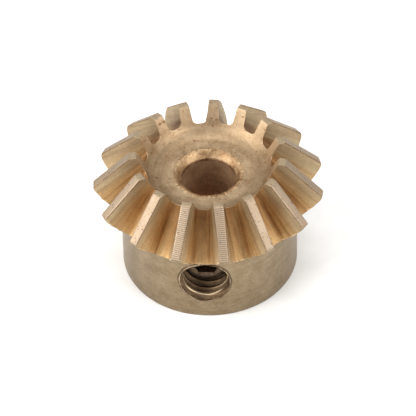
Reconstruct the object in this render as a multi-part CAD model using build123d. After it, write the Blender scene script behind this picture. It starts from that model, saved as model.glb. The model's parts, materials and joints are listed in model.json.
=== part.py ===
"""Straight bevel gear with a set-screw hub, and its set screw.

The gear is one turned and milled piece of brass: a plain round hub, a coned rim that
carries the teeth, and a dished front with a countersunk bore. One tapped hole goes
through the hub wall to the bore, and the set screw in it holds the gear on its shaft.

Frame: +Z runs along the bore from the hub's back face towards the teeth, the origin is
the middle of that back face, and the tapped hole points along -Y. Units: millimetres.
"""
from build123d import *
from math import cos, radians, sin, sqrt
import os

# Gear data. The mating gear is the same size, on a shaft at right angles.
MODULE = 0.8
TEETH = 15
PITCH_CONE_DEG = 45.0
PITCH_RADIUS = MODULE * TEETH / 2
HEEL_PITCH_Z = 5.15
APEX_Z = HEEL_PITCH_Z + PITCH_RADIUS

# Hub and bore.
HUB_RADIUS = 5.0
BORE_RADIUS = 1.5
BORE_COUNTERSINK = 0.35
BACK_BORE_CHAMFER = 0.15
HUB_EDGE_CHAMFER = 0.1

# Rim: the blank that the teeth are cut in. The back cone is square to the pitch cone.
RIM_RADIUS = 6.53
RIM_LAND = 0.2
RIM_BACK_Z = HEEL_PITCH_Z + (RIM_RADIUS - PITCH_RADIUS)
TOE_RADIUS = 4.42
TOE_TOP_Z = 8.0
TOE_LAND = 0.38

# Dish in the front face: a steep toe cone that runs out into a flat floor.
DISH_FLOOR_Z = 6.45
DISH_FLOOR_CORNER_RADIUS = 3.23
DISH_FILLET = 1.2

# Tooth spaces, measured in a plane square to the pitch cone: u across the space and
# v outwards from the pitch cone, as (half width, height) at the tip, pitch cone and root.
SPACE_AT_HEEL = {"tip": (1.07, 0.69), "pitch": (0.69, 0.0), "root": (0.4, -0.92)}
SPACE_AT_TOE = {"tip": (0.65, 0.84), "pitch": (0.46, 0.0), "root": (0.38, -0.42)}
HEEL_PLANE_RADIUS = PITCH_RADIUS
TOE_PLANE_RADIUS = 3.79
ROOT_FILLET = 0.3
CUTTER_RUN_OUT = 0.35
CUTTER_OVER_TIP = 0.8
FIRST_SPACE_DEG = -91.1

# Tapped hole for the set screw, M3 x 0.5: the plain wall is the thread's minor diameter.
THREAD_PITCH = 0.5
TAPPED_HOLE_Z = 2.7
TAPPED_HOLE_RADIUS = 1.25
TAPPED_COUNTERSINK_RADIUS = 1.45
TAPPED_CUTTER_OVER_HUB = 1.0

# Set screw: flat point, hexagon socket. Its plain side stands for its thread.
SCREW_CLEARANCE = 0.02
SCREW_LENGTH = 4 * THREAD_PITCH
SCREW_SHAFT_GAP = 0.05
SCREW_CHAMFER = 0.2
SOCKET_ACROSS_FLATS = 1.5
SOCKET_DEPTH = 1.2


def blank():
    """The turned blank, before any teeth or the tapped hole."""
    hub_top_z = RIM_BACK_Z - (RIM_RADIUS - HUB_RADIUS)
    outline = [
        (BORE_RADIUS + BACK_BORE_CHAMFER, 0),
        (HUB_RADIUS - HUB_EDGE_CHAMFER, 0),
        (HUB_RADIUS, HUB_EDGE_CHAMFER),
        (HUB_RADIUS, hub_top_z),
        (RIM_RADIUS, RIM_BACK_Z),
        (RIM_RADIUS, RIM_BACK_Z + RIM_LAND),
        (TOE_RADIUS, TOE_TOP_Z),
        (TOE_RADIUS - TOE_LAND, TOE_TOP_Z),
        (DISH_FLOOR_CORNER_RADIUS, DISH_FLOOR_Z),
        (BORE_RADIUS + BORE_COUNTERSINK, DISH_FLOOR_Z),
        (BORE_RADIUS, DISH_FLOOR_Z - BORE_COUNTERSINK),
        (BORE_RADIUS, BACK_BORE_CHAMFER),
    ]
    half_section = make_face(Plane.XZ * Polyline(*outline, close=True))
    dish_corner = half_section.vertices().sort_by_distance(
        (DISH_FLOOR_CORNER_RADIUS, 0, DISH_FLOOR_Z)
    )[0]
    half_section = fillet(dish_corner, DISH_FILLET)
    return revolve(half_section, Axis.Z, 360)


def blend(heel, toe, t):
    """The value a part t of the way from the heel to the toe, past either end too."""
    return heel + (toe - heel) * t


def space_section(t):
    """Cross-section of a tooth space: t is 0 at the heel plane and 1 at the toe plane."""
    point = {}
    for place in ("tip", "pitch", "root"):
        u = blend(SPACE_AT_HEEL[place][0], SPACE_AT_TOE[place][0], t)
        v = blend(SPACE_AT_HEEL[place][1], SPACE_AT_TOE[place][1], t)
        point[place] = (u, v)
    (tip_u, tip_v), (root_u, root_v) = point["tip"], point["root"]
    slope = (tip_u - point["pitch"][0]) / (tip_v - point["pitch"][1])
    top_u, top_v = tip_u + slope * CUTTER_OVER_TIP, tip_v + CUTTER_OVER_TIP
    right = ThreePointArc(point["root"], point["pitch"], point["tip"])
    left = mirror(right, Plane.YZ)
    outline = right + left
    outline += Line((root_u, root_v), (-root_u, root_v))
    outline += Polyline((tip_u, tip_v), (top_u, top_v), (-top_u, top_v), (-tip_u, tip_v))
    section = make_face(outline)
    root_corners = section.vertices().sort_by(Axis.Y)[:2]
    section = fillet(root_corners, ROOT_FILLET)
    radius = blend(HEEL_PLANE_RADIUS, TOE_PLANE_RADIUS, t)
    tilt = radians(PITCH_CONE_DEG)
    along_cone = Vector(-sin(tilt), 0, cos(tilt))
    plane = Plane(
        origin=(radius, 0, APEX_Z - radius), x_dir=(0, 1, 0), z_dir=along_cone * -1
    )
    return plane * section


def tooth_space():
    """Cutter for the tooth space that is centred on +X."""
    return loft([space_section(-CUTTER_RUN_OUT), space_section(1 + CUTTER_RUN_OUT)], ruled=True)


def tapped_hole():
    """Cutter for the tapped hole and its countersink, pointing along -Y."""
    hole = Plane(origin=(0, 0, TAPPED_HOLE_Z), z_dir=(0, -1, 0))
    wall = Cylinder(
        TAPPED_HOLE_RADIUS,
        HUB_RADIUS + TAPPED_CUTTER_OVER_HUB,
        align=(Align.CENTER, Align.CENTER, Align.MIN),
    )
    # The hub is round, so the countersink is deepest where the hole's mouth stands proudest.
    mouth_depth = TAPPED_COUNTERSINK_RADIUS - TAPPED_HOLE_RADIUS
    mouth_bottom = sqrt(HUB_RADIUS**2 - TAPPED_COUNTERSINK_RADIUS**2) - mouth_depth
    mouth = Pos(0, 0, mouth_bottom) * Cone(
        TAPPED_HOLE_RADIUS,
        TAPPED_HOLE_RADIUS + TAPPED_CUTTER_OVER_HUB,
        TAPPED_CUTTER_OVER_HUB,
        align=(Align.CENTER, Align.CENTER, Align.MIN),
    )
    return hole * (wall + mouth)


def bevel_gear():
    """The finished gear."""
    gear = blank()
    cutter = tooth_space()
    step = 360 / TEETH
    for index in range(TEETH):
        gear -= Rot(0, 0, FIRST_SPACE_DEG + index * step) * cutter
    return gear - tapped_hole()


def set_screw():
    """The set screw at rest: seated in the hub wall, just clear of the shaft."""
    radius = TAPPED_HOLE_RADIUS - SCREW_CLEARANCE
    body = Cylinder(radius, SCREW_LENGTH, align=(Align.CENTER, Align.CENTER, Align.MIN))
    ends = body.edges().filter_by(GeomType.CIRCLE)
    body = chamfer(ends, SCREW_CHAMFER)
    socket = extrude(
        RegularPolygon(SOCKET_ACROSS_FLATS / 2, 6, major_radius=False), amount=-SOCKET_DEPTH
    )
    body -= Pos(0, 0, SCREW_LENGTH) * socket
    seat = Plane(
        origin=(0, -(BORE_RADIUS + SCREW_SHAFT_GAP), TAPPED_HOLE_Z), z_dir=(0, -1, 0)
    )
    return seat * body


os.makedirs("parts", exist_ok=True)
for name, shape in {"bevel_gear": bevel_gear(), "set_screw": set_screw()}.items():
    export_step(shape, f"parts/{name}.step")
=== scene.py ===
import json
from collections import namedtuple
from functools import cached_property
from math import atan2, cos, hypot, pi, radians, sin, sqrt, tan

import bmesh
import bpy
import numpy as np
from mathutils import Matrix, Vector, noise


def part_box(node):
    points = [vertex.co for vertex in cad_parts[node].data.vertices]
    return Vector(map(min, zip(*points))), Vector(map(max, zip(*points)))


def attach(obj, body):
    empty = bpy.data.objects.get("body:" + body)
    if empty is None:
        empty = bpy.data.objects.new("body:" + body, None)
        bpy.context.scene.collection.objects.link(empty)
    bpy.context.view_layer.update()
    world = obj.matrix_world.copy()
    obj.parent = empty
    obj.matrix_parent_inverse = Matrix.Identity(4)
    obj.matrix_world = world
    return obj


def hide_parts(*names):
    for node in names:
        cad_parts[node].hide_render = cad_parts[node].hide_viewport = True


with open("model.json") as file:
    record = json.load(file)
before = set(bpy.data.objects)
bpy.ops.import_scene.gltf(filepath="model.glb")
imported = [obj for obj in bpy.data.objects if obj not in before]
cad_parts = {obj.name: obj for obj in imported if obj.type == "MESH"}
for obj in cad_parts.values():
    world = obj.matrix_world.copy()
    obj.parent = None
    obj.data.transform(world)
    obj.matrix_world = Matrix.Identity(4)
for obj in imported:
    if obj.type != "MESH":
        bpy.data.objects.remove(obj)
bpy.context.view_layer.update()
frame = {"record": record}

MM = 0.001

# Sizes that the frame states. The tooth_mesh mount is on the pitch cone, which is at 45 degrees.
MOUNTS = {mount["name"]: mount for mount in frame["record"]["mounts"]}
SCREW_LOW, SCREW_HIGH = (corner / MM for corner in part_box("set_screw"))
BORE_RADIUS = MOUNTS["shaft_bore"]["dims"]["r_mm"]
MESH_POINT = Vector(MOUNTS["tooth_mesh"]["pos_m"]) / MM
APEX_Z = MESH_POINT.z + hypot(MESH_POINT.x, MESH_POINT.y)
HOLE_Z = (SCREW_LOW.z + SCREW_HIGH.z) / 2
TOP_Z = (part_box("bevel_gear")[1] / MM).z

# The gear's other sizes, in millimetres, as in the CAD model.
TEETH = 15
PITCH_RADIUS = 6.0
HUB_RADIUS = 5.0
RIM_RADIUS = 6.53
RIM_LAND = 0.2
RIM_BACK_Z = APEX_Z - 2 * PITCH_RADIUS + RIM_RADIUS
HUB_TOP_Z = RIM_BACK_Z - (RIM_RADIUS - HUB_RADIUS)
TOE_RADIUS = 4.42
TOE_LAND = 0.38
DISH_FLOOR_Z = 6.45
DISH_CORNER_RADIUS = 3.23
DISH_FILLET = 1.2
BORE_COUNTERSINK = 0.35
BACK_BORE_CHAMFER = 0.15
HUB_EDGE_CHAMFER = 0.1

# A tooth space's half width, and height over the pitch cone, at its tip, pitch and root.
SPACE_AT_HEEL = {"tip": (1.07, 0.69), "pitch": (0.69, 0.0), "root": (0.4, -0.92)}
SPACE_AT_TOE = {"tip": (0.65, 0.84), "pitch": (0.46, 0.0), "root": (0.38, -0.42)}
ROOT_FILLET = 0.3
TOE_PLANE_RADIUS = 3.79
FIRST_SPACE = radians(-91.1)

# The face cone, which the tops of the teeth lie on, from the rim to the toe.
FACE_SLOPE = (TOP_Z - RIM_BACK_Z - RIM_LAND) / (RIM_RADIUS - TOE_RADIUS)
FACE_CONE_TOP = TOP_Z + TOE_RADIUS * FACE_SLOPE

# Rounded edges and burrs, which only the visible model has.
EDGE_ROUND = 0.035
RIM_ROUND = 0.15
BORE_LIP = 0.04
MOUTH_BURR_REACH = 0.42
MOUTH_BURR_OUT = 0.05
MOUTH_BURR_UP = 0.06
HEEL_BURR = 0.05

# M3 x 0.5 thread of the tapped hole and of the screw. Both have the same phase. The crest's
# flat and the flank are shares of half a pitch.
THREAD_PITCH = 0.5
THREAD_PHASE = 0.53
THREAD_CREST_FLAT = 0.125
THREAD_FLANK = 0.625
HOLE_MINOR_RADIUS = 1.25
HOLE_MAJOR_RADIUS = 1.5
HOLE_MOUTH_RADIUS = 1.4
HOLE_MOUTH_DEPTH = 0.35
THREAD_START = 1.0
THREAD_RUN_IN = 0.2
CUTTER_INNER_END = 0.2
CUTTER_OVER_HUB = 0.3
CUTTER_STEP = 0.03
SCREW_MAJOR_RADIUS = 1.46
SCREW_MINOR_RADIUS = 1.2
SCREW_END_CHAMFER = SCREW_MAJOR_RADIUS - SCREW_MINOR_RADIUS + 0.08
SCREW_FACE_RADIUS = 1.0
SOCKET_FLAT = 0.75
SOCKET_DEPTH = 1.2
SOCKET_MOUTH_RADIUS = 0.96
SOCKET_CHAMFER = 0.12

# The raised lip round the hole: (distance from LIP_RADIUS, rise over the hub).
LIP_RADIUS = 1.44
LIP_PROFILE = [(-0.1, -0.04), (-0.03, 0.05), (0.02, 0.06), (0.06, 0.02), (0.08, -0.05)]

# How fine the mesh is: points across half a tooth space, then steps along each column.
FLOOR_POINTS = 3
FILLET_POINTS = 8
FLANK_POINTS = 9
LAND_POINTS = 5
SPACE_COLUMNS = FLOOR_POINTS + FILLET_POINTS + FLANK_POINTS
BACK_CONE_STEPS = 6
RIM_STEPS = 2
TOOTH_STEPS = 12
TOE_STEPS = 2
DISH_STEPS = 13
SCREW_RINGS = 81
AROUND_SCREW = 96
AROUND_LIP = 160

# The rows of each column at the corner of back cone and tooth space, without the first and
# last row of that corner. Row 0 is at the top of the hub.
HEEL_EDGE_ROWS = range(BACK_CONE_STEPS + 1, BACK_CONE_STEPS + RIM_STEPS + 4)

# Lengths under TINY count as nothing, and heights within FLAT_TOLERANCE count as level.
TINY = 1e-6
FLAT_TOLERANCE = 1e-4

# Parts of the gear's surface, in the order of its material slots.
ZONES = ["hub", "land", "flank", "toe", "dish", "burr", "bore", "thread"]


# ---------------------------------------------------------------- gear mesh


def lerp(a, b, t):
    """From a, where t is 0, to b, where it is 1."""
    return a + (b - a) * t


def clamp(value):
    return min(1, max(0, value))


def between(a, b, steps):
    """The points that cut the line from a to b into steps, without its ends."""
    return [lerp(a, b, q) for q in np.linspace(0, 1, steps + 1)[1:-1]]


def corner_arc(corner, toward, radius, count):
    """Points of an arc that rounds the corner between a level line that comes in from the
    left and the line from the corner to toward."""
    rise = toward - corner
    turn = atan2(rise[1], rise[0])
    centre = corner + radius * np.array([-tan(turn / 2), 1])
    return [centre + radius * np.array([sin(a), -cos(a)]) for a in np.linspace(0, turn, count)]


def section(t, flank_end):
    """Half of a tooth space's cross-section at t (0 heel, 1 toe), from its middle up the
    flank to flank_end, as (u, v) points. flank_end is 1 at the stated tip."""
    tip, pitch, root = (
        lerp(np.array(SPACE_AT_HEEL[k]), np.array(SPACE_AT_TOE[k]), t)
        for k in ("tip", "pitch", "root")
    )
    pitch_share = (pitch[1] - root[1]) / (tip[1] - root[1])

    def flank(q):
        """The parabola through root (q = 0), pitch and tip (q = 1)."""
        of_root = (q - pitch_share) * (q - 1) / pitch_share
        of_pitch = q * (q - 1) / (pitch_share * (pitch_share - 1))
        of_tip = q * (q - pitch_share) / (1 - pitch_share)
        return root * of_root + pitch * of_pitch + tip * of_tip

    # Each round brings fillet_top closer to where the fillet meets the flank.
    flank_size = np.linalg.norm(tip - root)
    fillet_top = 0.2
    for _ in range(8):
        rise = flank(fillet_top) - root
        fillet_top = ROOT_FILLET * tan(atan2(rise[1], rise[0]) / 2) / flank_size
    fillet = corner_arc(root, flank(fillet_top), ROOT_FILLET, FILLET_POINTS)
    middle = np.array([0, root[1]])
    points = [lerp(middle, fillet[0], q) for q in np.linspace(0, 1, FLOOR_POINTS + 1)[:-1]]
    points += fillet
    near_edge = flank_end - EDGE_ROUND / flank_size
    points += [flank(q) for q in np.linspace(fillet_top, near_edge, FLANK_POINTS)[1:]]
    points.append(flank(flank_end))
    return np.array(points)


def to_space(uv, t):
    """(u, v) points of a section, in 3-D about a tooth space that is centred on +X."""
    radius = lerp(PITCH_RADIUS, TOE_PLANE_RADIUS, t)
    out = radius + uv[:, 1] / sqrt(2)
    return np.stack([out, uv[:, 0], APEX_Z - radius + uv[:, 1] / sqrt(2)], 1)


def flank_end_at(t):
    """How far up the flank the face cone cuts it, found by halving."""
    low, high = 0.6, 1.5
    for _ in range(30):
        middle = (low + high) / 2
        x, y, z = to_space(section(t, middle), t)[-1]
        if z > FACE_CONE_TOP - hypot(x, y) * FACE_SLOPE:
            high = middle
        else:
            low = middle
    return (low + high) / 2


def half_pitch(t):
    """Points from the middle of a tooth space to the middle of the next tooth."""
    points = to_space(section(t, flank_end_at(t)), t)
    corner = points[-1]
    radius, angle = hypot(corner[0], corner[1]), atan2(corner[1], corner[0])
    angles = np.linspace(angle + EDGE_ROUND / radius, pi / TEETH, LAND_POINTS)
    land = np.array([[radius * cos(a), radius * sin(a), corner[2]] for a in angles])
    points[-1] = (points[-2] + 2 * corner + land[0]) / 4
    return np.concatenate([points, land])


def dish_outline():
    """(r, z) points down the toe cone and round the fillet, to the dish's floor."""
    top = np.array([TOE_RADIUS - TOE_LAND, TOP_Z])
    corner = np.array([DISH_CORNER_RADIUS, DISH_FLOOR_Z])
    fillet = corner_arc(corner, top, DISH_FILLET, 13)[::-1]
    wall = [lerp(top, fillet[0], q) for q in np.linspace(0, 1, 12)[:-1]]
    return np.array(wall + fillet)


DISH = dish_outline()
DISH_LENGTH = np.concatenate([[0], np.cumsum(np.linalg.norm(np.diff(DISH, axis=0), axis=1))])


def dish_point(length):
    """The (r, z) point at a length down the dish's outline."""
    return np.array([np.interp(length, DISH_LENGTH, DISH[:, k]) for k in (0, 1)])


def ring_point(rz, angle):
    return np.array([rz[0] * cos(angle), rz[0] * sin(angle), rz[1]])


def polar(point):
    """A point's (r, z) and its angle about the gear's axis."""
    return np.array([hypot(point[0], point[1]), point[2]]), atan2(point[1], point[0])


def tooth_lines():
    """For each column of a half pitch: its straight run from heel to toe, as two ends. They
    are where the column goes into the blank and where it comes out of it. The steps run past
    the blank at both ends."""
    steps = np.linspace(-0.45, 1.3, 141)
    sheets = np.array([half_pitch(t) for t in steps])
    radius = np.hypot(sheets[..., 0], sheets[..., 1])
    z = sheets[..., 2]
    inside_heel = np.minimum(z - (radius - RIM_RADIUS + RIM_BACK_Z), RIM_RADIUS - radius)
    wall = np.interp(z, DISH[::-1, 1], DISH[::-1, 0])
    inside_toe = np.minimum(TOP_Z - z, radius - wall)
    near_toe = steps > 0.3
    ends = []
    for column in range(sheets.shape[1]):
        line, at_heel, at_toe = sheets[:, column], inside_heel[:, column], inside_toe[:, column]
        k = np.argmax(at_heel > 0)
        start = lerp(line[k - 1], line[k], -at_heel[k - 1] / (at_heel[k] - at_heel[k - 1]))
        k = np.argmax((at_toe < 0) & near_toe)
        end = lerp(line[k - 1], line[k], at_toe[k - 1] / (at_toe[k - 1] - at_toe[k]))
        ends.append((start, end))
    return ends


def inner_outline():
    """(r, z, zone) from the dish's floor through the bore and up the hub: the zone is that
    of the strip after the point."""
    mouth = BORE_RADIUS + BORE_COUNTERSINK
    bore_top = DISH_FLOOR_Z - BORE_COUNTERSINK
    lip_edge = (mouth + 0.12, DISH_FLOOR_Z)
    lip_inside = (mouth - 0.04, DISH_FLOOR_Z)
    back_edge = (HUB_RADIUS - HUB_EDGE_CHAMFER, 0)
    points = []

    def run(a, b, shares, zone):
        points.extend((lerp(a[0], b[0], q), lerp(a[1], b[1], q), zone) for q in shares)

    run((DISH[-1][0], DISH_FLOOR_Z), lip_edge, (0.33, 0.66), "dish")
    run((DISH[-1][0], DISH_FLOOR_Z), lip_edge, (1,), "burr")
    run((mouth + 0.08, DISH_FLOOR_Z + BORE_LIP), lip_inside, (0, 0.5, 1), "burr")
    run(lip_inside, (BORE_RADIUS, bore_top), (0.2, 0.4, 0.6, 0.8, 0.95), "burr")
    bore_shares = np.linspace(0.02, 1, 12)
    run((BORE_RADIUS, bore_top), (BORE_RADIUS, BACK_BORE_CHAMFER), bore_shares, "bore")
    run((BORE_RADIUS + BACK_BORE_CHAMFER, 0), back_edge, np.linspace(0, 1, 5), "hub")
    points.append((HUB_RADIUS - 0.03, 0.03, "hub"))
    hub_shares = np.linspace(0, 0.95, 12)
    run((HUB_RADIUS, HUB_EDGE_CHAMFER), (HUB_RADIUS, HUB_TOP_Z), hub_shares, "hub")
    return points


INNER = inner_outline()


def corner_points(before, at, after, reach=EDGE_ROUND):
    """Three points that round a corner, from up to reach before it to as much after it, and
    never from more than 0.4 of the way to its neighbours."""
    to_before, to_after = before - at, after - at
    size_before, size_after = np.linalg.norm(to_before), np.linalg.norm(to_after)
    if min(size_before, size_after) < TINY:
        return [at, at, at]
    a = at + to_before * min(reach / size_before, 0.4)
    b = at + to_after * min(reach / size_after, 0.4)
    return [a, (a + 2 * at + b) / 4, b]


def heel_corners(hub_top, rim, heel, toe, on_rim):
    """The rounded corner of back cone and rim, and that of rim and tooth. A tooth space has
    no rim, so there the two are one corner."""
    if on_rim:
        rim_corner = corner_points(hub_top, rim, heel, RIM_ROUND)
        return rim_corner, corner_points(rim, heel, toe, RIM_ROUND)
    a, middle, b = corner_points(hub_top, heel, toe)
    return [a, middle, middle], [middle, middle, b]


def toe_corners(heel, toe, flat_edge, wall_near, on_flat):
    """The rounded corner of tooth and flat toe, and that of flat toe and dish. A deep column
    misses the flat, so there the two are one corner."""
    if on_flat:
        flat_corner = corner_points(toe, flat_edge, wall_near)
        return corner_points(heel, toe, flat_edge), [*flat_corner[:2], wall_near]
    a, middle, _ = corner_points(heel, toe, wall_near)
    return [a, middle, middle], [middle, middle, wall_near]


def column_points(heel, toe):
    """One closed loop of the gear's surface, and the zone of the strip after each point."""
    heel_rz, heel_angle = polar(heel)
    toe_rz, toe_angle = polar(toe)
    hub_top = ring_point((HUB_RADIUS, HUB_TOP_Z), heel_angle)
    rim = ring_point((RIM_RADIUS, RIM_BACK_Z), heel_angle)
    on_rim = heel_rz[1] > RIM_BACK_Z + 2 * EDGE_ROUND
    rim_corner, heel_corner = heel_corners(hub_top, rim, heel, toe, on_rim)

    at_top = toe_rz[1] > TOP_Z - FLAT_TOLERANCE
    on_flat = at_top and toe_rz[0] > DISH[0][0] + 2 * EDGE_ROUND
    wall_start = 0.0 if on_flat else np.interp(-toe_rz[1], -DISH[:, 1], DISH_LENGTH)
    wall_near = ring_point(dish_point(wall_start + EDGE_ROUND), toe_angle)
    flat_edge = ring_point(DISH[0], toe_angle)
    toe_corner, wall_corner = toe_corners(heel, toe, flat_edge, wall_near, on_flat)
    lengths = np.linspace(wall_start + EDGE_ROUND, DISH_LENGTH[-1], DISH_STEPS + 1)[1:]
    wall = [ring_point(dish_point(length), toe_angle) for length in lengths]

    strips = [
        ([hub_top], "hub"),
        (between(hub_top, rim_corner[0], BACK_CONE_STEPS), "hub"),
        (rim_corner, "hub"),
        (between(rim_corner[2], heel_corner[0], RIM_STEPS), "hub"),
        (heel_corner, "tooth"),
        (between(heel_corner[2], toe_corner[0], TOOTH_STEPS), "tooth"),
        (toe_corner, "toe"),
        (between(toe_corner[2], wall_corner[0], TOE_STEPS), "toe"),
        (wall_corner, "toe"),
        (wall[:-1], "toe"),
        (wall[-1:], "dish"),
    ]
    for index, (r, z, zone) in enumerate(INNER):
        angle = lerp(toe_angle, heel_angle, (index + 1) / (len(INNER) + 1))
        strips.append(([ring_point((r, z), angle)], zone))
    loop = [point for points, _ in strips for point in points]
    zones = [zone for points, zone in strips for _ in points]
    return loop, zones


def turned(points, angle):
    """Points turned about the gear's axis."""
    turn = np.array([[cos(angle), sin(angle), 0], [-sin(angle), cos(angle), 0], [0, 0, 1]])
    return points @ turn


def worn(point, at_heel_edge):
    """A point of the gear, moved a little where the real edge is rough: the bore's mouth
    carries a burr, and so do the heel ends of the tooth spaces."""
    radius = hypot(point[0], point[1])
    outward = np.array([point[0], point[1], 0]) / radius
    up = np.array([0, 0, 1])
    rough = noise.noise(Vector(point) * 7)
    fine = noise.noise(Vector(point) * 19 + Vector((3, 0, 0)))
    out_from_mouth, up_from_mouth = radius - BORE_RADIUS - 0.25, point[2] - DISH_FLOOR_Z + 0.1
    from_mouth = hypot(out_from_mouth, up_from_mouth * 0.8)
    near_mouth = max(0, 1 - from_mouth / MOUTH_BURR_REACH) ** 0.5
    burr = near_mouth * clamp((radius - BORE_RADIUS) / 0.05)
    push = outward * MOUTH_BURR_OUT + up * MOUTH_BURR_UP
    point = point + push * burr * (rough + 0.5 * fine)
    if at_heel_edge and radius < RIM_RADIUS - RIM_ROUND:
        point = point + (outward - up) * HEEL_BURR * (fine + 0.6 * rough)
    return point


def one_pitch():
    """The columns from the middle of a tooth space almost to the middle of the next one, as
    (place in the half pitch, loop), and the zones along every column."""
    half = [column_points(heel, toe) for heel, toe in tooth_lines()]
    zones = half[0][1]
    columns = [(index, np.array(loop)) for index, (loop, _) in enumerate(half)]
    for index, loop in columns[-2:0:-1]:
        mirrored = loop * np.array([1, -1, 1])
        columns.append((index, turned(mirrored, 2 * pi / TEETH)))
    return columns, zones


def gear_blank():
    """The whole gear but for the tapped hole, as a closed grid of columns round the axis."""
    pitch, zones = one_pitch()
    loops, places = [], []
    for tooth in range(TEETH):
        for place, loop in pitch:
            loops.append(turned(loop, FIRST_SPACE + tooth * 2 * pi / TEETH))
            places.append(place)
    rows, count = len(zones), len(loops)
    faces, materials = [], []
    for c in range(count):
        after = (c + 1) % count
        on_land = min(places[c], places[after]) >= SPACE_COLUMNS - 1
        for r, zone in enumerate(zones):
            below = (r + 1) % rows
            corners = (c, r), (after, r), (after, below), (c, below)
            faces.append(tuple(column * rows + row for column, row in corners))
            if zone == "tooth":
                zone = "land" if on_land else "flank"
            materials.append(ZONES.index(zone))
    points = enumerate(np.concatenate(loops))
    vertices = [worn(point, k % rows in HEEL_EDGE_ROWS) for k, point in points]
    return np.array(vertices), faces, materials


def make_mesh(name, vertices, faces, materials, finishes):
    """A mesh object from millimetre points. materials holds each face's place in finishes."""
    mesh = bpy.data.meshes.new(name)
    mesh.from_pydata([tuple(v * MM) for v in vertices], [], faces)
    for finish in finishes:
        mesh.materials.append(finish)
    mesh.polygons.foreach_set("material_index", materials)
    piece = bpy.data.objects.new(name, mesh)
    bpy.context.scene.collection.objects.link(piece)
    return piece


def clean(piece):
    """Merges doubled points, drops faces with no area and points all normals out."""
    work = bmesh.new()
    work.from_mesh(piece.data)
    bmesh.ops.remove_doubles(work, verts=work.verts, dist=1e-7)
    bmesh.ops.dissolve_degenerate(work, edges=work.edges, dist=1e-8)
    bmesh.ops.recalc_face_normals(work, faces=work.faces)
    work.to_mesh(piece.data)
    work.free()


# ---------------------------------------------------------------- tapped hole and screw


def thread_depth(along, angle):
    """0 at the screw thread's crest and 1 at its root, for the trapezoid of a metric thread."""
    phase = THREAD_PHASE + along / THREAD_PITCH - angle / (2 * pi)
    from_crest = abs(phase % 1 - 0.5) * 2
    return clamp((from_crest - THREAD_CREST_FLAT) / THREAD_FLANK)


def circle(radius, along):
    return lambda angle: (radius, along)


def round_grid(name, rings, around, finishes, zone=0):
    """A closed mesh about the hole's axis: rings is a list of functions of the angle, each
    giving (radius, distance along the axis)."""
    vertices, faces = [], []
    for ring in rings:
        for k in range(around):
            angle = 2 * pi * k / around
            radius, along = ring(angle)
            vertices.append([radius * cos(angle), -along, HOLE_Z + radius * sin(angle)])
    for r in range(len(rings) - 1):
        for k in range(around):
            after = (k + 1) % around
            corners = (r, k), (r, after), (r + 1, after), (r + 1, k)
            faces.append(tuple(row * around + place for row, place in corners))
    faces.append(tuple(range(around))[::-1])
    faces.append(tuple((len(rings) - 1) * around + k for k in range(around)))
    piece = make_mesh(name, np.array(vertices), faces, [zone] * len(faces), finishes)
    clean(piece)
    return piece


def hub_surface(radius, angle):
    """How far out the hub's surface is, at a place about the hole's axis."""
    return sqrt(HUB_RADIUS**2 - (radius * cos(angle)) ** 2)


def hole_cutter(finishes):
    """The tapped hole as a solid: a thread, with a small flare where it meets the hub."""
    flare = (HOLE_MOUTH_RADIUS - HOLE_MINOR_RADIUS) / HOLE_MOUTH_DEPTH

    def ring_at(along):
        threaded = clamp((along - THREAD_START) / THREAD_RUN_IN)

        def ring(angle):
            groove = (1 - thread_depth(along, angle)) * threaded
            radius = lerp(HOLE_MINOR_RADIUS, HOLE_MAJOR_RADIUS, groove)
            above_hub = along - hub_surface(HOLE_MOUTH_RADIUS, angle)
            return max(radius, HOLE_MOUTH_RADIUS + above_hub * flare), along

        return ring

    stations = np.arange(THREAD_START - 0.05, HUB_RADIUS + CUTTER_OVER_HUB, CUTTER_STEP)
    rings = [ring_at(along) for along in (CUTTER_INNER_END, *stations)]
    return round_grid("hole_cutter", rings, AROUND_SCREW, finishes, ZONES.index("thread"))


def hole_lip(finishes):
    """The burr that the tap raised round the hole: a low uneven ring on the hub. Its two
    ends are discs inside the hub's metal."""

    def on_hub(radius, rise):
        def ring(angle):
            place = Vector((cos(angle), sin(angle), 0))
            uneven = 1 + 0.8 * noise.noise(place * 2.5) + 0.5 * noise.noise(place * 9)
            wander = 1 + 0.012 * noise.noise(place * 5 + Vector((0, 0, 4)))
            height = rise * uneven if rise > 0 else rise
            return radius * wander, hub_surface(radius, angle) + height

        return ring

    rings = [circle(1.1, HUB_RADIUS - 0.35)]
    rings += [on_hub(LIP_RADIUS + step, rise) for step, rise in LIP_PROFILE]
    rings += [circle(1.4, HUB_RADIUS - 0.6)]
    return round_grid("hole_lip", rings, AROUND_LIP, finishes, ZONES.index("hub"))


def bevel_gear(finishes):
    """The gear: the blank with the lip added and the tapped hole cut out."""
    vertices, faces, materials = gear_blank()
    blank = make_mesh("gear_blank", vertices, faces, materials, finishes)
    clean(blank)
    helpers = [(hole_lip(finishes), "UNION"), (hole_cutter(finishes), "DIFFERENCE")]
    for helper, operation in helpers:
        step = blank.modifiers.new(helper.name, "BOOLEAN")
        step.operation = operation
        step.solver = "EXACT"
        step.object = helper
    graph = bpy.context.evaluated_depsgraph_get()
    mesh = bpy.data.meshes.new_from_object(blank.evaluated_get(graph))
    gear = bpy.data.objects.new("brass_gear", mesh)
    bpy.context.scene.collection.objects.link(gear)
    for spent in [blank] + [helper for helper, _ in helpers]:
        bpy.data.objects.remove(spent)
    return gear


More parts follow.
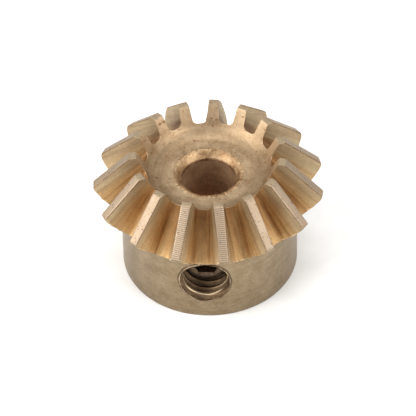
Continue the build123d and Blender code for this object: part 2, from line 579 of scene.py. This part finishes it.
def set_screw(finishes):
    """Set screw with a real thread, a flat point and a hexagon socket. Its groove is cut a
    little wide, to clear the hole's thread."""
    inner, outer = -SCREW_HIGH.y, -SCREW_LOW.y
    socket_floor = outer - SOCKET_DEPTH

    def thread_ring(along):
        def ring(angle):
            groove = min(1, thread_depth(along, angle) * 1.08 + 0.04)
            radius = lerp(SCREW_MAJOR_RADIUS, SCREW_MINOR_RADIUS, groove)
            from_end = min(along - inner, outer - along)
            return min(radius, SCREW_MAJOR_RADIUS - SCREW_END_CHAMFER + from_end), along

        return ring

    def hexagon(along):
        def ring(angle):
            within = angle % (pi / 3) - pi / 6
            return SOCKET_FLAT / cos(within), along

        return ring

    point = [circle(0.05, inner), circle(0.6, inner), circle(SCREW_FACE_RADIUS, inner)]
    side = [thread_ring(along) for along in np.linspace(inner, outer, SCREW_RINGS)]
    face = [circle(SCREW_FACE_RADIUS, outer), circle(SOCKET_MOUTH_RADIUS, outer)]
    socket = [hexagon(outer - SOCKET_CHAMFER)]
    socket += [hexagon(lerp(outer, socket_floor, q)) for q in (0.3, 0.6, 0.9, 1)]
    drilled = [circle(0.6, socket_floor), circle(0.05, socket_floor - 0.15)]
    rings = point + side + face + socket + drilled
    return round_grid("steel_set_screw", rings, AROUND_SCREW, finishes)


# ---------------------------------------------------------------- shader graphs


def linear(*rgb):
    """A screen colour, 0 to 255, as linear light."""
    return tuple((c / 255 / 12.92) if c < 11 else ((c / 255 + 0.055) / 1.055) ** 2.4 for c in rgb)


class Signal:
    """A node's output. Arithmetic on it adds the matching math nodes."""

    def __init__(self, graph, socket):
        self.graph = graph
        self.socket = socket

    def __add__(self, other):
        return self.graph.math("ADD", self, other)

    def __sub__(self, other):
        return self.graph.math("SUBTRACT", self, other)

    def __rsub__(self, other):
        return self.graph.math("SUBTRACT", other, self)

    def __mul__(self, other):
        return self.graph.math("MULTIPLY", self, other)

    def __truediv__(self, other):
        return self.graph.math("DIVIDE", self, other)


Place = namedtuple("Place", "point x y z radius angle")


class Graph:
    """Short calls that add shader nodes to a new material."""

    def __init__(self, name):
        self.material = bpy.data.materials.new(name)
        self.material.use_nodes = True
        self.tree = self.material.node_tree
        self.shader = self.tree.nodes["Principled BSDF"]

    def node(self, kind, inputs, **settings):
        made = self.tree.nodes.new(kind)
        for key, value in settings.items():
            setattr(made, key, value)
        for key, value in inputs.items():
            self.put(made.inputs[key], value)
        return made

    def put(self, socket, value):
        if isinstance(value, Signal):
            self.tree.links.new(value.socket, socket)
        else:
            socket.default_value = value

    def math(self, operation, a, b=0.0):
        made = self.node("ShaderNodeMath", {0: a, 1: b}, operation=operation)
        return Signal(self, made.outputs[0])

    def vector(self, x, y, z):
        made = self.node("ShaderNodeCombineXYZ", {0: x, 1: y, 2: z})
        return Signal(self, made.outputs[0])

    def noise(self, vector, scale=1.0, detail=4.0, roughness=0.55):
        inputs = {"Vector": vector, "Scale": scale, "Detail": detail, "Roughness": roughness}
        return Signal(self, self.node("ShaderNodeTexNoise", inputs).outputs["Fac"])

    def ramp(self, value, *stops):
        """The value through a colour ramp. Each stop is (position, grey or colour)."""
        made = self.node("ShaderNodeValToRGB", {"Fac": value})
        elements = made.color_ramp.elements
        while len(elements) < len(stops):
            elements.new(1.0)
        for element, (position, colour) in zip(elements, stops):
            element.position = position
            grey = isinstance(colour, (int, float))
            element.color = (colour, colour, colour, 1) if grey else (*colour, 1)
        return Signal(self, made.outputs["Color"])

    def mix(self, share, a, b, blend="MIX"):
        """From colour a, where share is 0, to colour b, where it is 1."""
        a, b = (c if isinstance(c, Signal) else (*c, 1) for c in (a, b))
        inputs = {"Factor": share, 6: a, 7: b}
        made = self.node("ShaderNodeMix", inputs, data_type="RGBA", blend_type=blend)
        return Signal(self, made.outputs[2])

    def times(self, colour, factor):
        return self.mix(1.0, colour, factor, "MULTIPLY")

    def bump(self, height, distance, normal=None, strength=1.0):
        """The normal of a surface that height raises by up to distance, in millimetres."""
        inputs = {"Height": height, "Distance": distance * MM, "Strength": strength}
        if normal is not None:
            inputs["Normal"] = normal
        return Signal(self, self.node("ShaderNodeBump", inputs).outputs["Normal"])

    @cached_property
    def object_point(self):
        """The shaded point in the object's own frame, in metres."""
        return Signal(self, self.node("ShaderNodeTexCoord", {}).outputs["Object"])

    @cached_property
    def at(self):
        """The shaded point in millimetres: as a vector, as x, y and z, and as its distance
        from the gear's axis and its angle round it in turns."""
        split = self.node("ShaderNodeSeparateXYZ", {0: self.object_point})
        x, y, z = (Signal(self, split.outputs[k]) * (1 / MM) for k in range(3))
        radius = self.math("SQRT", x * x + y * y)
        angle = self.math("ARCTAN2", y, x) / (2 * pi)
        return Place(self.vector(x, y, z), x, y, z, radius, angle)

    def metal(self, colour, roughness, normal):
        """The finished material."""
        self.put(self.shader.inputs["Base Color"], colour)
        self.put(self.shader.inputs["Roughness"], roughness)
        self.put(self.shader.inputs["Normal"], normal)
        self.shader.inputs["Metallic"].default_value = 1.0
        return self.material


# ---------------------------------------------------------------- materials

# Brass off the lathe, as (light, dark).
HUB_TONES = linear(160, 141, 114), linear(134, 115, 88)
TOE_TONES = linear(184, 160, 129), linear(156, 130, 98)
DISH_TONES = linear(196, 173, 141), linear(156, 129, 98)
BURR_TONES = linear(202, 172, 134), linear(132, 98, 66)
BORE_TONES = linear(224, 188, 150), linear(194, 158, 122)
THREAD_TONES = linear(130, 107, 81), linear(90, 70, 52)
# Painted light that brightens the upper wall of the toe and dish.
TOP_PAINTED_LIGHT = linear(194, 169, 137)
FLAT_TOE = linear(178, 158, 130)
SPECK = linear(120, 70, 42)

# Round the tapped hole and in it.
TAP_LINE = linear(84, 66, 50)
LIP_CREST = linear(214, 190, 160)
# Painted highlight on the thread's crests near the hole's mouth.
THREAD_CREST_HIGHLIGHT = linear(226, 202, 168)

# Tops of the teeth. The two rib colours paint shade and light across the turning ribs;
# the next is the plain tone where those stripes are not painted.
RIB_PITCH = 0.11
RIB_PAINTED_SHADE = linear(132, 113, 94)
RIB_PAINTED_LIGHT = linear(194, 174, 150)
LAND_WITHOUT_RIBS = linear(162, 144, 123)
LAND_CLOUD = linear(168, 145, 119)
LAND_PIT = linear(98, 68, 46)

# Sides of the teeth: golden low down, greyer towards the tip, in part as painted
# reflection. The root colour darkens the floors of the tooth spaces as painted shade.
FLANK_LIGHT = linear(216, 188, 141)
FLANK_MIDDLE = linear(198, 162, 113)
FLANK_DARK = linear(160, 125, 85)
FLANK_GREY_LIGHT = linear(186, 167, 136)
FLANK_GREY_DARK = linear(156, 136, 107)
# Painted shade for the floors of the tooth spaces.
ROOT_PAINTED_SHADE = (0.55, 0.44, 0.37)
TIP_EDGE = linear(112, 76, 48)
# Burr chips at the heel, in part a painted highlight.
HEEL_CHIP_HIGHLIGHT = linear(222, 198, 162)

STEEL_DARK = linear(104, 86, 70)
STEEL_LIGHT = linear(138, 116, 96)
PAPER_DARK = linear(247, 247, 246)
PAPER_LIGHT = linear(252, 252, 251)


def turned_finish(g, tones, rings=0.5, speck=0.0, rough=0.4, relief=1.0, painted_top_light_and_flat_toe=False):
    """Colour, roughness and normal of brass off the lathe: fine rings round the axis, soft
    clouds and small dark specks. Where asked, it also takes painted light, brighter towards
    the top of the front face, and the flat toe's own tone."""
    light, dark = tones
    x, y, z, radius = g.at.x, g.at.y, g.at.z, g.at.radius
    ring = g.noise(g.vector(radius * 7, z * 7, g.at.angle * 5), detail=5, roughness=0.65)
    cloud = g.noise(g.at.point, scale=1.3, detail=6, roughness=0.65)
    grain = g.noise(g.at.point, scale=7, detail=5, roughness=0.7)
    tone = cloud * (1 - rings) + ring * rings
    colour = g.mix(g.ramp(tone, (0.38, 0.0), (0.62, 1.0)), dark, light)
    if painted_top_light_and_flat_toe:
        # Painted light: the colour turns brighter towards the top of the wall.
        edge = z + cloud * 0.8
        colour = g.mix(g.ramp(edge - 7.0, (0.35, 0.0), (0.75, 1.0)), colour, TOP_PAINTED_LIGHT)
        on_toe = g.ramp(z - (TOP_Z - 0.5), (0.46, 0.0), (0.49, 0.9))
        colour = g.mix(on_toe, colour, FLAT_TOE)
    colour = g.times(colour, g.ramp(grain, (0.32, 0.82), (0.68, 1.05)))
    pits = g.noise(g.at.point, scale=4.5, detail=3)
    colour = g.mix(g.ramp(pits, (0.63, 0.0), (0.68, 1.0)) * speck, colour, SPECK)
    normal = g.bump(ring, 0.014 * relief * rings)
    normal = g.bump(grain, 0.012 * relief, normal)
    return colour, cloud * 0.24 + (rough - 0.12), normal


def from_hole_axis(g):
    """Distance from the tapped hole's axis."""
    up = g.at.z - HOLE_Z
    return g.math("SQRT", g.at.x * g.at.x + up * up)


def hub_brass():
    """The hub, with the dark line that tapping left round the hole's rubbed lip."""
    g = Graph("brass_hub")
    colour, roughness, normal = turned_finish(g, HUB_TONES, rings=0.3)
    wander = g.noise(g.at.point, scale=1.6, detail=4) * 0.2
    behind = g.math("GREATER_THAN", g.at.y, 0.0)
    from_lip = from_hole_axis(g) + wander + behind * HUB_RADIUS - LIP_RADIUS
    line = g.ramp(from_lip, (0.1, 0.0), (0.13, 0.8), (0.17, 0.8), (0.22, 0.0))
    colour = g.mix(line, colour, TAP_LINE)
    colour = g.mix(g.ramp(from_lip, (0.06, 0.9), (0.11, 0.0)), colour, LIP_CREST)
    return g.metal(colour, roughness, normal)


def toe_brass():
    """The flat ends of the teeth and the dish's wall."""
    g = Graph("brass_toe")
    finish = turned_finish(g, TOE_TONES, rings=0.4, speck=0.7, rough=0.52, painted_top_light_and_flat_toe=True)
    return g.metal(*finish)


def dish_brass():
    """The dish's floor."""
    g = Graph("brass_dish")
    finish = turned_finish(g, DISH_TONES, rings=0.3, speck=0.8, rough=0.6, painted_top_light_and_flat_toe=True)
    return g.metal(*finish)


def burr_brass():
    """The rough countersink and burr at the bore's mouth."""
    g = Graph("brass_burr")
    finish = turned_finish(g, BURR_TONES, rings=0.2, speck=0.9, rough=0.52, relief=1.6)
    return g.metal(*finish)


def bore_brass():
    """The bore: an even tone, with painted shade that darkens it towards its mouth."""
    g = Graph("brass_bore")
    colour, roughness, normal = turned_finish(g, BORE_TONES, rings=0.4, rough=0.7, relief=0.6)
    # Painted shade: the colour darkens towards the bore's mouth.
    depth = (DISH_FLOOR_Z - g.at.z) / DISH_FLOOR_Z
    colour = g.times(colour, g.ramp(depth, (0.05, 0.72), (0.5, 1.0)))
    return g.metal(colour, roughness, normal)


def thread_brass():
    """The tapped hole, with a painted highlight along its thread's crests near the mouth."""
    g = Graph("brass_thread")
    colour, roughness, normal = turned_finish(g, THREAD_TONES, rings=0.3, rough=0.5)
    crest = g.ramp(from_hole_axis(g) - HOLE_MINOR_RADIUS, (0.02, 0.9), (0.05, 0.0))
    near_mouth = g.ramp(g.at.radius - (HUB_RADIUS - 1.0), (0.2, 0.0), (0.5, 1.0))
    # Painted highlight: a bright colour on the crests near the mouth.
    colour = g.mix(crest * near_mouth, colour, THREAD_CREST_HIGHLIGHT)
    return g.metal(colour, roughness, normal)


def land_brass():
    """The tops of the teeth: turning ribs across them, drawn as stripes of painted shade and
    light and a bump, on the tapped hole's side of the gear, and a plain tone with faint ribs
    everywhere else."""
    g = Graph("brass_land")
    along = (g.at.z - g.at.radius) / sqrt(2)
    cloud = g.noise(g.at.point, scale=1.1, detail=3)
    wander = g.noise(g.vector(g.at.angle * 40, along, 0.0), detail=2)
    phase = along * (2 * pi / RIB_PITCH) + wander * 4.0
    ribs = g.math("SINE", phase) * 0.5 + 0.5
    # Where the ribs' painted stripes and full bump show: towards the tapped hole.
    towards_hole = g.at.y * -1.0 / g.at.radius
    ribs_hidden = g.ramp(towards_hole, (0.84, 0.8), (0.95, 0.0))
    # Rib stripes of painted shade and painted light.
    colour = g.mix(ribs, RIB_PAINTED_SHADE, RIB_PAINTED_LIGHT)
    colour = g.mix(ribs_hidden, colour, LAND_WITHOUT_RIBS)
    colour = g.mix(g.ramp(cloud, (0.42, 0.0), (0.62, 0.4)), colour, LAND_CLOUD)
    pits = g.noise(g.at.point, scale=8, detail=3) + ribs_hidden * 0.04
    colour = g.mix(g.ramp(pits, (0.65, 0.0), (0.69, 0.7)), colour, LAND_PIT)
    grain = g.noise(g.at.point, scale=12, detail=4)
    normal = g.bump(ribs, 0.008, strength=1.0 - ribs_hidden)
    normal = g.bump(grain, 0.008, normal)
    return g.metal(colour, cloud * 0.2 + 0.44, normal)


def flank_streaks_and_painted_light(g, from_apex, rise, streaks, broad):
    """The streaked colour of a flank, with painted reflection and shade: golden low down and
    greyer towards the tip and on the far side of the gear, in part a painted reflection,
    and darker low down, in the narrow end of the tooth space's floor and on the far side,
    as painted shade."""
    cloud = g.noise(g.at.point, scale=1.1, detail=4)
    tone = streaks * 0.5 + broad * 0.3 + cloud * 0.2
    golden = g.ramp(tone, (0.38, FLANK_DARK), (0.5, FLANK_MIDDLE), (0.62, FLANK_LIGHT))
    grey = g.ramp(tone, (0.38, FLANK_GREY_DARK), (0.6, FLANK_GREY_LIGHT))
    # The far side: greyer as painted reflection, and its floors darker as painted shade.
    far_side = g.ramp(g.at.y * 0.1, (0.0, 0.0), (0.3, 0.4))
    # Golden to grey: in part a painted reflection.
    greyness = rise * 4.5 + broad * 0.7 + far_side
    colour = g.mix(g.ramp(greyness, (0.3, 0.0), (0.8, 0.85)), golden, grey)
    # Painted shade: darker low in the space, at its narrow end and on the far side.
    openness = rise * 8.0 + from_apex * 0.25 - far_side * 0.7 - 0.4
    return g.times(colour, g.ramp(openness, (0.35, ROOT_PAINTED_SHADE), (0.9, 1.0)))


def flank_edges(g, colour, grain):
    """The flank's colour with a dark line along the tip and bright burr chips at the heel, in
    part a painted highlight.
    """
    under_face = FACE_CONE_TOP - g.at.radius * FACE_SLOPE - g.at.z
    near_tip = g.ramp(under_face + grain * 0.16, (0.1, 0.75), (0.2, 0.0))
    colour = g.mix(near_tip, colour, TIP_EDGE)
    from_heel = g.at.z - g.at.radius - (RIM_BACK_Z - RIM_RADIUS)
    ragged = from_heel + g.noise(g.at.point, scale=2.0, detail=4, roughness=0.65) * 0.9
    # Bright chips at the heel: burrs, in part a painted highlight.
    return g.mix(g.ramp(ragged, (0.43, 0.85), (0.49, 0.0)), colour, HEEL_CHIP_HIGHLIGHT)


def flank_brass():
    """The milled sides and floors of the tooth spaces, streaked along the teeth."""
    g = Graph("brass_flank")
    from_apex = (APEX_Z - g.at.z + g.at.radius) / sqrt(2)
    rise = (g.at.z + g.at.radius - APEX_Z) / sqrt(2) / from_apex
    along_tooth = g.vector(rise * 22, g.at.angle * 60, from_apex * 0.05)
    streaks = g.noise(along_tooth, scale=2.0, detail=6, roughness=0.62)
    broad = g.noise(along_tooth, scale=0.45, detail=3)
    grain = g.noise(g.at.point, scale=11, detail=4)
    colour = flank_streaks_and_painted_light(g, from_apex, rise, streaks, broad)
    colour = flank_edges(g, colour, grain)
    colour = g.times(colour, g.ramp(grain, (0.3, 0.8), (0.7, 1.0)))
    normal = g.bump(streaks, 0.02)
    normal = g.bump(grain, 0.008, normal)
    return g.metal(colour, streaks * 0.25 + 0.5, normal)


def screw_steel():
    """Oiled steel in brown tones, worn brighter in places."""
    g = Graph("oiled_steel")
    grain = g.noise(g.at.point, scale=7, detail=5)
    colour = g.ramp(grain, (0.38, STEEL_DARK), (0.65, STEEL_LIGHT))
    return g.metal(colour, grain * 0.3 + 0.4, g.bump(grain, 0.008))


def floor_paper():
    """Plain pale paper for the studio floor."""
    g = Graph("studio_paper")
    fibre = g.noise(g.object_point, scale=900, detail=3)
    g.put(g.shader.inputs["Base Color"], g.ramp(fibre, (0.3, PAPER_DARK), (0.7, PAPER_LIGHT)))
    g.put(g.shader.inputs["Normal"], g.bump(fibre, 0.01))
    g.shader.inputs["Roughness"].default_value = 0.9
    g.shader.inputs["Specular IOR Level"].default_value = 0.1
    return g.material


FINISHES = {
    "hub": hub_brass,
    "land": land_brass,
    "flank": flank_brass,
    "toe": toe_brass,
    "dish": dish_brass,
    "burr": burr_brass,
    "bore": bore_brass,
    "thread": thread_brass,
}


# ---------------------------------------------------------------- stage

CAMERA_AZIMUTH = radians(4.13)
CAMERA_ELEVATION = radians(44.42)
CAMERA_ROLL = radians(-1.31)
CAMERA_DISTANCE = 212.7
CAMERA_TARGET = Vector((0, 0, 4.769))
CAMERA_LENS = 324.4
CAMERA_SHIFT = (-0.0023, -0.0332)

# Square softboxes that face the origin: name, place and side in metres, power in watts.
SOFTBOXES = [
    ("left_light", (-0.45, -0.2, 0.3), 0.5, 3.6),
    ("right_light", (0.42, -0.2, 0.3), 0.3, 1.6),
    ("top_light", (0.0, 0.1, 0.5), 0.3, 1.0),
]

# The light tent, as (how high the direction points, grey), and half the floor's side.
TENT_WALLS = [(0.1, 0.85), (0.9, 0.4)]
FLOOR_HALF = 0.6


def camera():
    """The main camera. back points from its target to its eye."""
    azimuth, elevation = CAMERA_AZIMUTH, CAMERA_ELEVATION
    level = cos(elevation)
    back = Vector((sin(azimuth) * level, -cos(azimuth) * level, sin(elevation)))
    data = bpy.data.cameras.new("camera")
    data.sensor_width = 36
    data.lens = CAMERA_LENS
    data.shift_x, data.shift_y = CAMERA_SHIFT
    data.clip_start = 0.01
    data.clip_end = 10
    eye = bpy.data.objects.new("camera", data)
    place = Matrix.Translation(CAMERA_TARGET * MM + back * (CAMERA_DISTANCE * MM))
    turn = (-back).to_track_quat("-Z", "Y").to_matrix().to_4x4()
    eye.matrix_world = place @ turn @ Matrix.Rotation(CAMERA_ROLL, 4, "Z")
    bpy.context.scene.collection.objects.link(eye)
    bpy.context.scene.camera = eye


def softbox(name, place, side, power):
    data = bpy.data.lights.new(name, "AREA")
    data.shape = "SQUARE"
    data.size = side
    data.energy = power
    light = bpy.data.objects.new(name, data)
    light.location = place
    light.rotation_euler = (-Vector(place)).to_track_quat("-Z", "Y").to_euler()
    bpy.context.scene.collection.objects.link(light)


def light_tent():
    """A plain world, darker towards its top."""
    world = bpy.data.worlds.new("studio")
    bpy.context.scene.world = world
    world.use_nodes = True
    nodes, links = world.node_tree.nodes, world.node_tree.links
    height = nodes.new("ShaderNodeSeparateXYZ")
    links.new(nodes.new("ShaderNodeTexCoord").outputs["Generated"], height.inputs[0])
    walls = nodes.new("ShaderNodeValToRGB")
    links.new(height.outputs["Z"], walls.inputs["Fac"])
    for element, (position, grey) in zip(walls.color_ramp.elements, TENT_WALLS):
        element.position = position
        element.color = (grey, grey, grey, 1)
    links.new(walls.outputs["Color"], nodes["Background"].inputs["Color"])


def studio_floor():
    mesh = bpy.data.meshes.new("floor")
    sides = (-1, -1), (1, -1), (1, 1), (-1, 1)
    corners = [(x * FLOOR_HALF, y * FLOOR_HALF, 0) for x, y in sides]
    mesh.from_pydata(corners, [], [(0, 1, 2, 3)])
    mesh.materials.append(floor_paper())
    floor = bpy.data.objects.new("floor", mesh)
    bpy.context.scene.collection.objects.link(floor)


def shade(piece):
    """Smooth shading that keeps the real edges sharp."""
    piece.data.shade_smooth()
    piece.data.set_sharp_from_angle(angle=radians(38))
    weights = piece.modifiers.new("even shading", "WEIGHTED_NORMAL")
    weights.keep_sharp = True


camera()
light_tent()
for settings in SOFTBOXES:
    softbox(*settings)
studio_floor()
bpy.context.scene.view_settings.view_transform = "Standard"

gear = bevel_gear([FINISHES[zone]() for zone in ZONES])
shade(gear)
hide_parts("bevel_gear")
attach(gear, "gear")

screw = set_screw([screw_steel()])
shade(screw)
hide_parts("set_screw")
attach(screw, "screw")
